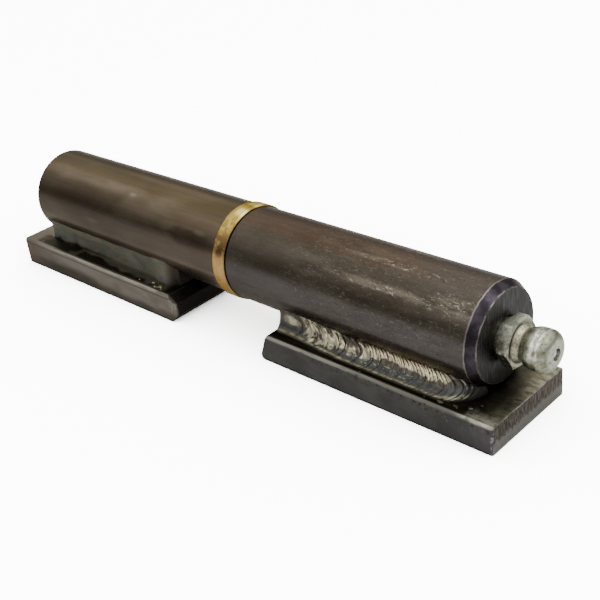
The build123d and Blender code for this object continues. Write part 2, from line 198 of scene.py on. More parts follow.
# ---- Finishes ----
class Finish:
    """A finish made of nodes. Its patterns lie in bench millimetres."""

    def __init__(self, name, edge_tint=(0.76, 0.73, 0.68)):
        self.material = bpy.data.materials.new(name)
        self.material.use_nodes = True
        self.nodes = self.material.node_tree.nodes
        self.links = self.material.node_tree.links
        self.shader = self.nodes["Principled BSDF"]
        self.shader.inputs["Specular Tint"].default_value = (*edge_tint, 1)
        place = self.nodes.new("ShaderNodeTexCoord").outputs["Object"]
        to_bench = self.nodes.new("ShaderNodeVectorMath")
        to_bench.operation = "MULTIPLY_ADD"
        self.links.new(place, to_bench.inputs[0])
        to_bench.inputs[1].default_value = (1 / MM,) * 3
        to_bench.inputs[2].default_value = -pin_centre / MM
        self.place = to_bench.outputs[0]
        split = self.nodes.new("ShaderNodeSeparateXYZ")
        self.links.new(self.place, split.inputs[0])
        self.x, self.y, self.z = split.outputs

    def put(self, socket, value):
        if isinstance(value, bpy.types.NodeSocket):
            self.links.new(value, socket)
        elif isinstance(value, tuple) and len(value) == 3 and socket.type == "RGBA":
            socket.default_value = (*value, 1)
        else:
            socket.default_value = value

    def math(self, operation, *values):
        node = self.nodes.new("ShaderNodeMath")
        node.operation = operation
        for socket, value in zip(node.inputs, values):
            self.put(socket, value)
        return node.outputs[0]

    def add(self, *values):
        return reduce(lambda total, value: self.math("ADD", total, value), values)

    def times(self, *values):
        return reduce(lambda total, value: self.math("MULTIPLY", total, value), values)

    def most(self, *values):
        return reduce(lambda total, value: self.math("MAXIMUM", total, value), values)

    def rest(self, value):
        return self.math("SUBTRACT", 1.0, value)

    def ease(self, value, low, high):
        """0 below low and 1 above high, or the other way round if low is the higher."""
        node = self.nodes.new("ShaderNodeMapRange")
        node.interpolation_type = "SMOOTHSTEP"
        turned = low > high
        self.put(node.inputs["Value"], value)
        node.inputs["From Min"].default_value = min(low, high)
        node.inputs["From Max"].default_value = max(low, high)
        node.inputs["To Min"].default_value = float(turned)
        node.inputs["To Max"].default_value = float(not turned)
        return node.outputs["Result"]

    def spread(self, value, low, high):
        """A 0 to 1 value stretched between two numbers."""
        node = self.nodes.new("ShaderNodeMapRange")
        self.put(node.inputs["Value"], value)
        node.inputs["To Min"].default_value = low
        node.inputs["To Max"].default_value = high
        return node.outputs["Result"]

    def near(self, value, centre, half, soft):
        """1 within half of the centre, easing to 0 over soft."""
        away = self.math("ABSOLUTE", self.math("SUBTRACT", value, centre))
        return self.ease(away, half + soft, half)

    def spot(self, across, up, centre, half):
        """A round-edged patch: 1 in its middle, 0 past its halves."""
        a = self.math("DIVIDE", self.math("SUBTRACT", across, centre[0]), half[0])
        b = self.math("DIVIDE", self.math("SUBTRACT", up, centre[1]), half[1])
        away = self.math("SQRT", self.add(self.times(a, a), self.times(b, b)))
        return self.ease(away, 1.0, 0.2)

    def grain(self, size, stretch=(1, 1, 1), detail=2.0, rough=0.5, warp=0.0, shift=0.0):
        """Cloudy noise whose blotches are about size millimetres, longer where stretched."""
        lay = self.nodes.new("ShaderNodeMapping")
        self.links.new(self.place, lay.inputs["Vector"])
        lay.inputs["Location"].default_value = (shift, shift * 0.7, -shift)
        lay.inputs["Scale"].default_value = tuple(1 / (size * s) for s in stretch)
        node = self.nodes.new("ShaderNodeTexNoise")
        self.links.new(lay.outputs["Vector"], node.inputs["Vector"])
        node.inputs["Scale"].default_value = 1.0
        node.inputs["Detail"].default_value = detail
        node.inputs["Roughness"].default_value = rough
        node.inputs["Distortion"].default_value = warp
        return node.outputs["Fac"]

    def patches(self, low, high, *size, **shift):
        """Cloudy noise eased into patches: nothing below low, whole above high."""
        return self.ease(self.grain(*size, **shift), low, high)

    def stray(self, noise, reach):
        """Noise to both sides of nought, to roughen the border that it is added to."""
        return self.times(self.math("SUBTRACT", noise, 0.5), reach)

    def own(self, name):
        """A value laid along the piece when it was made."""
        node = self.nodes.new("ShaderNodeAttribute")
        node.attribute_name = name
        return node.outputs["Fac"]

    def mix(self, first, second, share):
        node = self.nodes.new("ShaderNodeMix")
        node.data_type = "RGBA"
        self.put(node.inputs["Factor"], share)
        # A Mix node has its two colours in sockets 6 and 7, and gives its colour from 2.
        self.put(node.inputs[6], first)
        self.put(node.inputs[7], second)
        return node.outputs[2]

    def coat(self, under, tone, *shares):
        """Lays a tone over a colour, as far as all of its shares allow."""
        return self.mix(under, tone, self.times(*shares))

    def around(self):
        """Degrees above level as seen from the pin's axis, front and back alike."""
        turn = self.math("ARCTAN2", self.z, self.math("ABSOLUTE", self.y))
        return self.math("DEGREES", turn)

    def from_axis(self):
        return self.math("SQRT",
                         self.add(self.times(self.y, self.y), self.times(self.z, self.z)))

    def lit(self, colour, strength):
        """The same colour, lighter or darker."""
        node = self.nodes.new("ShaderNodeVectorMath")
        node.operation = "SCALE"
        self.links.new(colour, node.inputs[0])
        node.inputs["Scale"].default_value = strength
        return node.outputs[0]

    def shade(self, colour, strength, *shares):
        """Makes a colour lighter or darker, as far as all of its shares allow."""
        return self.coat(colour, self.lit(colour, strength), *shares)

    def finish(self, colour, roughness, height=None, depth=0.0, metallic=1.0):
        """Joins the patterns to the shader. Depth is the relief in millimetres."""
        self.put(self.shader.inputs["Metallic"], metallic)
        self.put(self.shader.inputs["Base Color"], colour)
        self.put(self.shader.inputs["Roughness"], roughness)
        if height is not None:
            bump = self.nodes.new("ShaderNodeBump")
            bump.inputs["Distance"].default_value = depth * MM
            self.links.new(height, bump.inputs["Height"])
            self.links.new(bump.outputs["Normal"], self.shader.inputs["Normal"])
        return self.material


BAR_CHAMFER = 1.5         # along the right bar's end
END_FACE_RADIUS = 7.1     # where that chamfer meets the end's flat face
PLATE_CHAMFER = 0.45      # along the top edges of both plates


def left_bar_finish():
    """Oiled, drawn bar with thin olive-brown scale."""
    f = Finish("left_bar_scale")
    turn = f.around()
    clouds = f.grain(6.0, (2.6, 1, 1), 3.0, 0.55, 0.4)
    draw = f.grain(0.5, (40, 1, 1), 2.0, 0.6)
    olive = f.mix((0.06, 0.044, 0.022), (0.082, 0.062, 0.036), f.ease(clouds, 0.35, 0.68))
    brown = f.mix((0.05, 0.037, 0.024), (0.072, 0.058, 0.04), f.ease(clouds, 0.35, 0.68))
    mauve = f.mix((0.05, 0.04, 0.031), (0.066, 0.053, 0.042), f.ease(clouds, 0.35, 0.68))
    colour = f.mix(brown, olive, f.ease(turn, 60.0, 72.0))
    wander = f.stray(f.grain(3.0, (2, 1, 1), shift=5), 26.0)
    colour = f.mix(colour, mauve, f.ease(f.add(turn, wander), 26.0, 14.0))
    inner = f.ease(f.x, -36.0, -4.0)
    colour = f.shade(colour, 1.5, inner, f.ease(turn, 62.0, 50.0))
    colour = f.shade(colour, 1.2, inner, f.ease(turn, 50.0, 64.0))
    # Painted light: below level the bar is lightened, to offset the shade that the bead casts
    # there.
    under = f.times(f.ease(turn, -5.0, -14.0), f.ease(f.x, -51.0, -47.0))
    colour = f.shade(colour, 1.7, under)
    colour = f.coat(colour, (0.03, 0.022, 0.014), f.ease(draw, 0.5, 0.75), 0.25)
    stain = f.times(f.patches(0.38, 0.62, 3.4, (1.8, 1, 1), 2.0, 0.5, 0.4, 12),
                    f.spot(f.x, turn, (-9.0, 29.0), (12.0, 21.0)))
    colour = f.coat(colour, (0.03, 0.019, 0.014), stain, 0.7)
    smears = f.most(
        f.spot(f.x, turn, (-25.1, 56.0), (1.3, 4.0)),
        f.spot(f.x, turn, (-5.5, 36.0), (2.2, 5.0)),
        f.times(f.spot(f.x, turn, (-35.0, 5.0), (3.0, 4.0)), 0.5),
    )
    colour = f.coat(colour, (0.13, 0.112, 0.085), smears, 0.5)
    # Painted shade: a dark line along the crease just above the bead.
    painted_crease_shade = f.times(f.near(turn, -16.0, 1.2, 2.4), f.ease(f.x, -50.0, -46.0))
    colour = f.coat(colour, (0.034, 0.025, 0.018), painted_crease_shade, 0.35)
    # Painted light: the top of the bar is lightened.
    colour = f.shade(colour, 1.3, f.ease(turn, 83.0, 89.0))
    faced = f.ease(f.x, left_bar_low.x + 0.1, left_bar_low.x + 0.03)
    turned = f.grain(0.14, (1, 30, 1), 2.0, 0.6, 0.0, 11)
    colour = f.mix(colour, f.mix((0.056, 0.048, 0.039), (0.088, 0.077, 0.063),
                                 f.ease(turned, 0.34, 0.7)), faced)
    rough = f.spread(f.grain(2.0, (4, 1, 1), shift=3), 0.27, 0.38)
    return f.finish(colour, rough, draw, 0.004)


def right_bar_finish():
    """Bar with a dark scale, scuffed pale in lengthwise streaks."""
    f = Finish("right_bar_scale")
    turn = f.around()
    clouds = f.grain(5.0, (2.5, 1, 1), 3.0, 0.55, 0.3, 5)
    draw = f.grain(0.45, (30, 1, 1), 2.0, 0.6, 0.0, 2)
    brown = f.mix((0.058, 0.039, 0.026), (0.078, 0.055, 0.038), f.ease(clouds, 0.35, 0.68))
    drab = f.mix((0.046, 0.038, 0.028), (0.064, 0.054, 0.042), f.ease(clouds, 0.35, 0.68))
    grey = f.mix((0.06, 0.053, 0.049), (0.074, 0.067, 0.063), f.ease(clouds, 0.35, 0.68))
    colour = f.mix(drab, brown, f.ease(turn, 58.0, 72.0))
    colour = f.coat(colour, (0.076, 0.066, 0.056), f.ease(f.x, 30.0, 47.0),
                    f.ease(turn, 50.0, 66.0), 0.7)
    # Painted light: the top of the bar is lightened.
    colour = f.shade(colour, 1.12, f.ease(turn, 82.0, 92.0))
    colour = f.mix(grey, colour, f.ease(turn, 12.0, 22.0))
    colour = f.coat(colour, (0.02, 0.015, 0.012), f.ease(draw, 0.52, 0.78), 0.3)
    # Heat tint beside the bead, darkening further down as painted shade where the bar turns
    # towards the plate.
    wander = f.stray(f.grain(1.5, (3, 1, 1), shift=15), 7.0)
    heat_tint_and_shade = f.times(f.ease(f.add(turn, wander), -11.0, -16.0), f.ease(f.x, 12.0, 15.0))
    burnt_and_shaded_tone = f.mix((0.026, 0.02, 0.017), (0.06, 0.052, 0.04), f.ease(turn, -20.0, -32.0))
    colour = f.coat(colour, burnt_and_shaded_tone, heat_tint_and_shade, 0.9)
    specks = f.times(f.patches(0.56, 0.66, 0.5, (2.0, 1, 1), 2.0, 0.6, 0.3, 33),
                     f.spot(f.x, turn, (17.5, 24.0), (5.0, 12.0)))
    colour = f.coat(colour, (0.14, 0.095, 0.085), specks, 0.8)
    scuffs = f.most(
        f.spot(f.x, turn, (34.0, 43.0), (17.0, 8.0)),
        f.spot(f.x, turn, (34.0, 73.0), (15.0, 6.0)),
        f.times(f.spot(f.x, turn, (46.0, 46.0), (8.0, 20.0)), 0.9),
        f.spread(f.ease(f.x, 12.0, 20.0), 0.06, 0.2),
    )
    flecks = f.patches(0.54, 0.7, 0.36, (2.4, 1, 1), 4.0, 0.75, 0.9, 9)
    haze = f.grain(1.2, (4, 1, 1), 3.0, 0.6, 0.2, 19)
    colour = f.coat(colour, (0.17, 0.145, 0.11), scuffs, f.ease(haze, 0.36, 0.66), 0.65)
    colour = f.coat(colour, (0.46, 0.425, 0.335), flecks, scuffs, 0.85)
    pits = f.times(f.patches(0.57, 0.68, 0.45, (1.7, 1, 1), 3.0, 0.7, 0.5, 38),
                   f.ease(f.x, 8.0, 22.0))
    colour = f.coat(colour, (0.026, 0.019, 0.015), pits, 0.45)
    rough = f.spread(f.grain(2.0, (4, 1, 1), shift=8), 0.3, 0.42)

    # The end: a dark chamfer, a brushed face, and worn edges on both sides of the chamfer.
    end = right_bar_high.x
    out = f.from_axis()
    chamfer = f.times(f.ease(f.x, end - BAR_CHAMFER - 0.1, end - BAR_CHAMFER),
                    f.ease(out, END_FACE_RADIUS - 0.05, END_FACE_RADIUS + 0.05))
    chamfer_tone = f.mix((0.022, 0.018, 0.022), (0.046, 0.038, 0.046),
                         f.patches(0.36, 0.62, 1.6, shift=34))
    colour = f.mix(colour, chamfer_tone, chamfer)
    face = f.times(f.ease(f.x, end - 0.1, end - 0.02),
                   f.ease(out, END_FACE_RADIUS + 0.05, END_FACE_RADIUS - 0.05))
    brushed = f.grain(0.22, (1, 1, 14), 2.0, 0.7, 0.1, 4)
    face_tone = f.mix((0.036, 0.037, 0.039), (0.086, 0.09, 0.093), f.ease(brushed, 0.42, 0.72))
    colour = f.mix(colour, face_tone, face)
    ragged = f.stray(f.grain(0.9, shift=6), 0.25)
    outer_edge = f.near(f.add(f.x, ragged), end - BAR_CHAMFER, 0.04, 0.12)
    inner_edge = f.times(f.near(f.add(out, ragged), END_FACE_RADIUS, 0.03, 0.1),
                         f.ease(f.x, end - 0.3, end - 0.1))
    worn = f.most(outer_edge, f.times(inner_edge, f.patches(0.35, 0.6, 1.8, shift=31)))
    colour = f.coat(colour, (0.28, 0.26, 0.24), worn,
                    f.spread(f.grain(1.3, shift=35), 0.25, 0.85))
    turned = f.patches(0.6, 0.72, 0.14, (1, 14, 14), 2.0, 0.6, 0.0, 37)
    rings = f.most(f.spot(f.x, turn, (47.2, 20.0), (1.4, 14.0)),
                   f.spot(f.x, turn, (48.2, 84.0), (1.2, 12.0)))
    colour = f.coat(colour, (0.2, 0.185, 0.16), turned, rings, 0.7)
    return f.finish(colour, rough, f.add(f.times(draw, 0.5), flecks), 0.006)


def plate_places(f, low, high):
    """Shares of a plate's surface: its top, its front face and the edge between them."""
    top = f.ease(f.z, high.z - 0.12, high.z - 0.04)
    front = f.ease(f.y, low.y + 0.12, low.y + 0.04)
    under, behind = high.z - PLATE_CHAMFER, low.y + PLATE_CHAMFER
    edge = f.times(f.ease(f.z, under - 0.03, under + 0.02),
                   f.ease(f.y, behind + 0.03, behind - 0.02))
    return top, front, edge


def left_plate_finish():
    """Flat bar with a warm scale, soot and painted shade along the bead, painted shade at its
    inner end, and worn bright along its front edge.
    """
    f = Finish("left_plate_scale")
    low, high = left_plate_low, left_plate_high
    top, front, edge = plate_places(f, low, high)
    clouds = f.grain(5.0, (2.5, 1, 1), 3.0, 0.6, 0.4, 21)
    draw = f.grain(0.5, (30, 1, 1), 2.0, 0.6, 0.0, 22)
    wander = f.stray(f.grain(4.0, (2.2, 1, 1), shift=24), 2.2)
    light = f.mix((0.125, 0.11, 0.092), (0.175, 0.16, 0.138), f.ease(clouds, 0.3, 0.7))
    dim = f.mix((0.04, 0.034, 0.028), (0.078, 0.068, 0.057), f.ease(clouds, 0.3, 0.7))
    level = f.add(f.z, wander, f.times(f.ease(f.x, -44.0, -32.0), 0.9))
    face = f.mix(dim, light, f.ease(level, low.z + 1.7, low.z + 3.1))
    face = f.shade(face, 0.7, f.ease(f.x, -36.0, -50.0))
    smoked = f.spot(f.add(f.x, f.times(wander, 1.5)), f.z, (-39.5, low.z + 1.9), (9.5, 1.5))
    face = f.coat(face, (0.04, 0.034, 0.028), smoked, 0.65)
    outer = f.ease(f.add(f.x, f.times(wander, 2.0)), low.x + 8.0, low.x + 2.0)
    face = f.coat(face, (0.072, 0.054, 0.042), outer, 0.85)
    rust = f.patches(0.56, 0.68, 2.6, (1.8, 1, 1), 2.0, 0.5, 0.2, 25)
    face = f.coat(face, (0.105, 0.074, 0.052), rust, 0.45)
    foot = f.ease(f.z, low.z + 0.7, low.z + 0.2)
    face = f.coat(face, (0.034, 0.03, 0.026), foot, 0.7)
    # The top: soot and painted shade along the bead, a pale film, and painted shade at the
    # inner end.
    deck = f.mix((0.12, 0.105, 0.08), (0.185, 0.165, 0.13), f.ease(clouds, 0.35, 0.7))
    # Soot and painted shade darken the deck in front of the bead's toe.
    soot_shade_edge = f.stray(f.grain(3.4, (1.3, 1, 1), 1.0, 0.5, 0.0, 28), 4.0)
    soot_shade_start = f.add(f.y, soot_shade_edge, f.times(f.ease(f.x, -46.0, -22.0), 1.7))
    soot_and_shade = f.times(f.ease(soot_shade_start, -6.6, -7.3), f.ease(f.y, -9.85, -9.6),
                   f.ease(f.x, -54.5, -52.5), f.ease(f.x, -15.0, -19.0))
    thin = f.patches(0.6, 0.68, 3.0, (1.6, 1, 1), 1.0, 0.5, 0.2, 29)
    deck = f.coat(deck, (0.02, 0.016, 0.011), soot_and_shade, f.spread(thin, 0.97, 0.45))
    film = f.times(f.ease(f.y, -8.0, -7.0), f.near(f.x, -33.0, 18.5, 1.0))
    deck = f.coat(deck, (0.2, 0.2, 0.165), film, f.rest(soot_and_shade), 0.8)
    drop = f.times(f.spot(f.x, f.y, (-17.0, -8.7), (2.4, 1.1)),
                   f.patches(0.36, 0.5, 0.7, shift=27))
    deck = f.coat(deck, (0.22, 0.21, 0.14), drop, 0.9)
    patch = f.spot(f.x, f.y, (-52.6, -8.0), (1.6, 1.5))
    deck = f.coat(deck, (0.06, 0.036, 0.022), patch, 0.8)
    # Painted shade: the deck at the inner end is painted nearly black.
    inner = f.ease(f.x, -15.5, -13.6)
    deck = f.coat(deck, (0.012, 0.01, 0.008), inner, f.ease(f.y, -10.3, -9.6))
    colour = f.mix(face, deck, top)
    rub = f.patches(0.3, 0.55, 1.4, (5, 1, 1), 3.0, 0.6, 0.2, 30)
    rim = f.mix((0.1, 0.088, 0.068), (0.27, 0.245, 0.2), rub)
    rim = f.mix(f.lit(rim, 0.5), rim, f.ease(f.x, low.x + 1.0, low.x + 14.0))
    colour = f.coat(colour, rim, edge, f.ease(f.z, high.z - 0.42, high.z - 0.22), 0.9)
    under = f.near(f.add(f.z, f.times(rub, 0.1)), high.z - 0.62, 0.07, 0.16)
    colour = f.coat(colour, (0.045, 0.037, 0.028), under, front, 0.6)
    # Painted shadow: the plate's inner end face is darkened.
    painted_shadow_inner_end = f.times(f.ease(f.x, high.x - 2.2, high.x - 1.6),
                        f.ease(f.y, low.y + 0.25, low.y + 0.8))
    colour = f.coat(colour, (0.016, 0.014, 0.012), painted_shadow_inner_end, 0.95)
    pale = f.times(f.patches(0.5, 0.62, 0.5, shift=31),
                   f.ease(f.y, low.y + 0.7, low.y + 0.2),
                   f.spot(f.x, f.z, (high.x - 0.6, high.z - 1.6), (1.6, 2.4)))
    colour = f.coat(colour, (0.3, 0.28, 0.24), pale, 0.6)
    rough = f.spread(f.grain(1.5, (3, 1, 1), shift=33), 0.34, 0.5)
    return f.finish(colour, rough, draw, 0.006)


def right_plate_finish():
    """Flat bar with a charcoal scale, its front edge ground bright and its end sheared."""
    f = Finish("right_plate_scale")
    low, high = right_plate_low, right_plate_high
    top, _, edge = plate_places(f, low, high)
    clouds = f.grain(4.0, (2.0, 1, 1), 3.0, 0.6, 0.4, 41)
    draw = f.grain(0.5, (24, 1, 1), 2.0, 0.6, 0.0, 42)
    face = f.mix((0.05, 0.049, 0.046), (0.074, 0.071, 0.067), f.ease(clouds, 0.35, 0.68))
    tint = f.patches(0.5, 0.7, 3.0, (2, 1, 1), shift=43)
    face = f.coat(face, (0.066, 0.069, 0.056), tint, 0.6)
    purple = f.times(f.patches(0.44, 0.6, 1.6, shift=45),
                     f.ease(f.x, high.x - 9.0, high.x - 1.0))
    face = f.coat(face, (0.078, 0.066, 0.08), purple, 0.7)
    specks = f.patches(0.52, 0.64, 0.4, (1.8, 1, 1), 3.0, 0.7, 0.3, 44)
    high_specks = f.times(specks, f.ease(f.z, high.z - 2.0, high.z - 0.7),
                          f.ease(f.x, low.x + 6.0, low.x + 18.0))
    face = f.coat(face, (0.02, 0.012, 0.008), high_specks, 0.8)
    marks = f.patches(0.55, 0.66, 0.3, (1, 1, 4), 3.0, 0.7, 0.5, 59)
    face = f.coat(face, (0.135, 0.13, 0.115), marks, f.ease(f.x, high.x - 18.0, high.x - 8.0),
                  f.ease(f.z, high.z - 3.6, high.z - 1.0), 0.55)
    low_marks = f.times(f.patches(0.53, 0.62, 0.36, (1.5, 1, 1), 3.0, 0.7, 0.4, 60),
                        f.near(f.z, low.z + 0.75, 0.2, 0.5),
                        f.ease(f.x, low.x + 34.0, low.x + 8.0))
    face = f.coat(face, (0.13, 0.125, 0.11), low_marks, 0.55)
    foot = f.ease(f.z, low.z + 0.6, low.z + 0.1)
    face = f.coat(face, (0.02, 0.02, 0.02), foot, 0.7)

    # The top: painted shade in the gap behind the ground edge and under the bar, wear at the
    # end.
    deck = f.mix((0.085, 0.075, 0.05), (0.15, 0.135, 0.095), f.ease(clouds, 0.35, 0.7))
    # Painted shade: a dark strip behind the ground edge.
    gap_shade_wander = f.stray(f.grain(2.0, shift=48), 0.25)
    painted_gap_shade = f.times(f.near(f.add(f.y, gap_shade_wander), low.y + 0.95, 0.26, 0.14),
                  f.ease(f.x, high.x - 3.0, high.x - 9.0))
    deck = f.coat(deck, (0.01, 0.008, 0.005), painted_gap_shade,
                  f.spread(f.ease(f.x, low.x + 1.0, low.x + 8.0), 0.45, 0.95))
    # Painted shade: the deck is darkened under the bar, back from the end.
    shade_wander = f.stray(f.grain(1.6, (1.5, 1, 1), 3.0, 0.6, 0.2, 49), 5.0)
    shaded = f.times(f.ease(f.y, -9.6, -8.6),
                     f.ease(f.add(f.x, shade_wander), high.x - 1.6, high.x - 6.0))
    deck = f.coat(deck, (0.02, 0.017, 0.012), shaded, 0.9)
    wear_wander = f.stray(f.grain(2.2, shift=46), 3.0)
    worn = f.ease(f.add(f.x, wear_wander), high.x - 3.0, high.x - 1.0)
    corner = f.times(f.ease(f.add(f.x, f.times(wear_wander, 1.2)), high.x - 6.0, high.x - 3.8),
                     f.ease(f.add(f.y, f.times(wear_wander, 0.5)), low.y + 3.4, low.y + 1.0))
    rubbed = f.patches(0.34, 0.62, 0.8, (2, 1, 1), 3.0, 0.65, 0.2, 47)
    wear_tone = f.mix((0.12, 0.11, 0.07), (0.3, 0.285, 0.2), rubbed)
    deck = f.coat(deck, wear_tone, worn, 0.85)
    deck = f.coat(deck, (0.66, 0.63, 0.49), corner, f.spread(rubbed, 0.35, 0.95))
    ground = f.times(f.ease(f.y, low.y + 0.75, low.y + 0.6),
                     f.ease(f.x, high.x - 8.0, high.x - 26.0))
    deck = f.coat(deck, (0.2, 0.19, 0.15), ground, 0.7)
    colour = f.mix(face, deck, top)

    rub = f.patches(0.32, 0.58, 1.2, (6, 1, 1), 3.0, 0.6, 0.2, 50)
    far = f.ease(f.x, high.x - 12.0, high.x - 34.0)
    rim = f.mix((0.075, 0.069, 0.057), (0.21, 0.2, 0.168), rub)
    rim = f.mix((0.075, 0.07, 0.06), rim, f.spread(far, 0.35, 1.0))
    rim_wander = f.stray(rub, 0.12)
    colour = f.coat(colour, rim, edge,
                    f.ease(f.add(f.z, rim_wander), high.z - 0.4, high.z - 0.2), 0.9)
    worn_rim = f.times(
        edge,
        f.ease(f.add(f.x, f.times(wear_wander, 1.6)), high.x - 8.0, high.x - 2.0),
        f.ease(f.add(f.z, rim_wander), high.z - 0.42, high.z - 0.12),
    )
    colour = f.coat(colour, (0.5, 0.48, 0.38), worn_rim, f.spread(rubbed, 0.2, 0.9))

    # The sheared end: torn and dark above, clean cut below, with a bright lip.
    end = f.ease(f.x, high.x - 0.08, high.x - 0.02)
    tear = f.math("SUBTRACT", f.grain(0.9, (1, 1, 2), shift=51), 0.5)
    slashes = f.grain(0.24, (1, 1, 6), 3.0, 0.7, 0.15, 52)
    upper = f.ease(f.add(f.z, f.times(tear, 2.4), f.stray(slashes, 1.6)),
                   high.z - 3.1, high.z - 2.4)
    end_tone = f.mix((0.125, 0.118, 0.108), (0.215, 0.205, 0.19), slashes)
    dark_tone = f.mix((0.018, 0.015, 0.014), (0.15, 0.132, 0.118), f.ease(slashes, 0.44, 0.58))
    rust = f.patches(0.5, 0.66, 1.6, (1, 1, 2), shift=54)
    dark_tone = f.coat(dark_tone, (0.085, 0.055, 0.045), rust, 0.45)
    moss = f.patches(0.55, 0.68, 1.2, (1, 1, 2), shift=58)
    dark_tone = f.coat(dark_tone, (0.08, 0.084, 0.06), moss, 0.4)
    end_tone = f.coat(end_tone, dark_tone, upper, 0.92)
    end_tone = f.shade(end_tone, 0.8, upper, f.ease(f.y, 2.0, -6.0))
    colour = f.mix(colour, end_tone, end)
    lip = f.times(f.ease(f.x, high.x - 0.35, high.x - 0.1),
                  f.ease(f.add(f.z, f.times(tear, 0.5)), high.z - 0.3, high.z - 0.1))
    colour = f.coat(colour, (0.36, 0.34, 0.28), lip, f.spread(rubbed, 0.25, 0.9))
    upright = f.times(f.ease(f.x, high.x - 0.5, high.x - 0.2),
                      f.ease(f.y, low.y + 0.5, low.y + 0.2))
    colour = f.coat(colour, (0.24, 0.24, 0.26), upright,
                    f.patches(0.45, 0.58, 0.7, shift=57), 0.8)
    rough = f.spread(f.grain(1.5, (3, 1, 1), shift=56), 0.34, 0.5)
    relief = f.add(f.times(draw, 0.3), f.times(slashes, end, 4.0))
    return f.finish(colour, rough, relief, 0.02)


def brass_finish():
    """Turned brass with fine tool lines, a brown stain and a dull film."""
    f = Finish("turned_brass", (0.86, 0.74, 0.46))
    turn = f.around()
    lines = f.grain(0.12, (1, 30, 30), 2.0, 0.6, 0.0, 60)
    clouds = f.grain(1.7, (1, 1, 1), 3.0, 0.6, 0.5, 61)
    low = f.mix((0.33, 0.2, 0.066), (0.45, 0.295, 0.115), f.ease(clouds, 0.28, 0.7))
    high = f.mix((0.28, 0.19, 0.036), (0.45, 0.33, 0.075), f.ease(clouds, 0.28, 0.7))
    colour = f.mix(low, high, f.ease(turn, 30.0, 52.0))
    stain = f.times(f.near(turn, 31.0, 8.0, 12.0), f.patches(0.36, 0.52, 1.4, shift=63))
    colour = f.coat(colour, (0.11, 0.06, 0.026), stain, 0.85)
    blot = f.times(f.near(turn, 54.0, 5.0, 8.0), f.patches(0.4, 0.62, 1.0, shift=65))
    colour = f.coat(colour, (0.14, 0.09, 0.035), blot, 0.7)
    # Painted highlight: a bright spot near the top of the rim.
    painted_highlight = f.times(f.near(turn, 78.0, 2.0, 8.0), f.near(f.x, 0.5, 0.5, 0.8))
    colour = f.coat(colour, (1.0, 0.84, 0.3), painted_highlight, 0.8)
    colour = f.coat(colour, (0.16, 0.095, 0.035), f.ease(lines, 0.52, 0.75), 0.45)
    sides = f.ease(f.math("ABSOLUTE", f.x), washer_half - 0.25, washer_half + 0.02)
    colour = f.coat(colour, (0.13, 0.085, 0.035), sides, 0.6)
    rough = f.spread(clouds, 0.2, 0.38)
    return f.finish(colour, rough, f.add(lines, f.times(clouds, 2.0)), 0.01)


